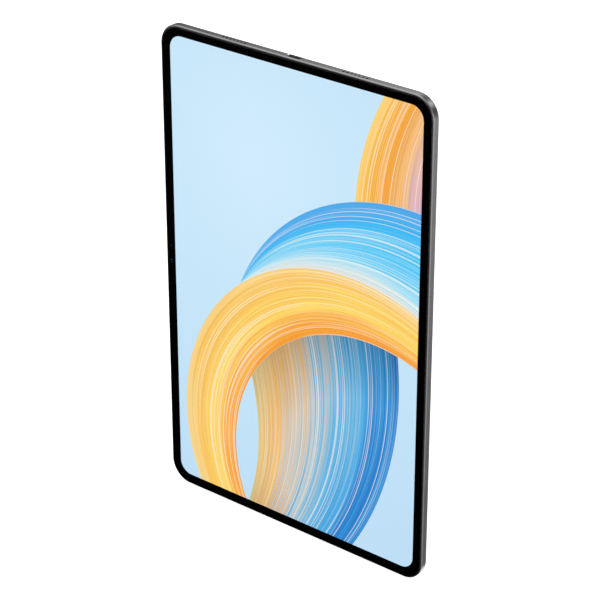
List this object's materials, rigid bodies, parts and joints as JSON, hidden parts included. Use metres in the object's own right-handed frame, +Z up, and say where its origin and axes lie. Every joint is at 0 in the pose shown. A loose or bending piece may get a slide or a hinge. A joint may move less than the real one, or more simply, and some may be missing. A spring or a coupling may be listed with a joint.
{
  "type": "tablet computer",
  "caption": "Flat tablet computer with a glass front, a one-piece metal rear housing, side buttons, speaker slots and a raised rear camera ring.",
  "frame": {"origin": "middle of the flat rear face", "axes": "+Z up along the long side with the charging port at the top, +X to the right as the screen is seen, +Y out of the rear face, so the screen faces -Y"},
  "size_m": [0.1752, 0.0075, 0.2725],
  "materials": {
    "anodised_aluminium": "fine bead-blasted, anodised dark grey, with a bright cut chamfer beside the glass",
    "cover_glass": "polished strengthened glass with a rounded edge",
    "printed_border": "opaque black ink under the glass",
    "foam_tape": "black double-sided foam tape",
    "optical_film": "clear film and clear adhesive",
    "display": "lit picture: pale blue ground with broad striped bands",
    "steel_sheet": "thin rolled stainless sheet",
    "graphite": "dark pressed graphite with a satin sheen",
    "flex_circuit": "amber polyimide film with copper tracks",
    "chip_black": "moulded black epoxy",
    "circuit_board": "green solder mask over glass-fibre board",
    "shield_metal": "tinned pressed sheet",
    "connector_resin": "cream moulded resin",
    "screw_steel": "bright zinc-plated steel",
    "pouch_foil": "matt dark laminated foil",
    "white_tape": "white stretch-release tape",
    "port_steel": "drawn stainless shell",
    "black_resin": "glass-filled black moulding",
    "contact_gold": "gold-plated copper",
    "silicone": "soft black silicone",
    "driver_metal": "satin metal cone and magnet cup",
    "acoustic_mesh": "fine woven black mesh",
    "button_aluminium": "anodised dark grey with a polished edge",
    "switch_metal": "plated dome switch",
    "trim_aluminium": "turned and anodised dark grey with a bright cut edge",
    "camera_glass": "smoked sapphire-like window",
    "lens_glass": "coated lens with a blue-violet sheen",
    "lens_black": "ribbed black barrel and printed mask",
    "flash_lens": "ribbed translucent lens",
    "flash_led": "yellow phosphor",
    "cable_jacket": "thin black coaxial jacket",
    "magnet": "nickel-plated magnet"
  },
  "bodies": {
    "tablet": {"rear_housing": "anodised_aluminium", "cover_glass": "cover_glass", "glass_adhesive": "foam_tape", "ink_border": "printed_border", "optical_adhesive": "optical_film", "touch_sensor": "optical_film", "display_panel": "display", "panel_support": "steel_sheet", "graphite_sheet": "graphite", "display_flex": "flex_circuit", "display_driver": "chip_black", "display_cable": "flex_circuit", "front_camera": "black_resin", "front_camera_lens": "lens_glass", "front_camera_flex": "flex_circuit", "light_sensor": "chip_black", "mainboard": "circuit_board", "shield_cans": "shield_metal", "processor": "chip_black", "memory_chips": "chip_black", "board_connectors": "connector_resin", "board_screws": "screw_steel", "battery_cell_left": "pouch_foil", "battery_cell_right": "pouch_foil", "battery_tape": "white_tape", "battery_board": "circuit_board", "battery_flex": "flex_circuit", "port_shell": "port_steel", "port_tongue": "black_resin", "port_contacts": "contact_gold", "port_gasket": "silicone", "port_board": "circuit_board", "port_flex": "flex_circuit", "speaker_boxes_top": "black_resin", "speaker_boxes_bottom": "black_resin", "speaker_drivers": "driver_metal", "speaker_meshes": "acoustic_mesh", "microphones": "contact_gold", "power_switch": "switch_metal", "power_bracket": "steel_sheet", "volume_switches": "switch_metal", "volume_bracket": "steel_sheet", "key_flex": "flex_circuit", "camera_trim": "trim_aluminium", "camera_window": "camera_glass", "camera_mask": "lens_black", "camera_module": "black_resin", "camera_sensor": "circuit_board", "camera_flex": "flex_circuit", "flash_lens": "flash_lens", "flash_led": "flash_led", "antennas": "contact_gold", "antenna_cables": "cable_jacket", "edge_magnets": "magnet"},
    "power_button": {"power_button": "button_aluminium"},
    "volume_rocker": {"volume_rocker": "button_aluminium"},
    "lens_barrel": {"focus_barrel": "lens_black", "camera_lens": "lens_glass"}
  },
  "joints": [
    {"name": "power_press", "type": "slide", "parent": "tablet", "child": "power_button", "axis": [0, 0, 1], "range_m": [0, 0.00025], "stiffness_N_per_m": 3000, "springref_m": -0.0001},
    {"name": "volume_rock", "type": "hinge", "parent": "tablet", "child": "volume_rocker", "pos_m": [-0.0844, -0.00442, -0.1], "axis": [0, 1, 0], "range_deg": [-1.1, 1.1], "stiffness_Nm_per_rad": 0.6},
    {"name": "focus_travel", "type": "slide", "parent": "tablet", "child": "lens_barrel", "axis": [0, 1, 0], "range_m": [0, 0.00035], "stiffness_N_per_m": 60}
  ]
}
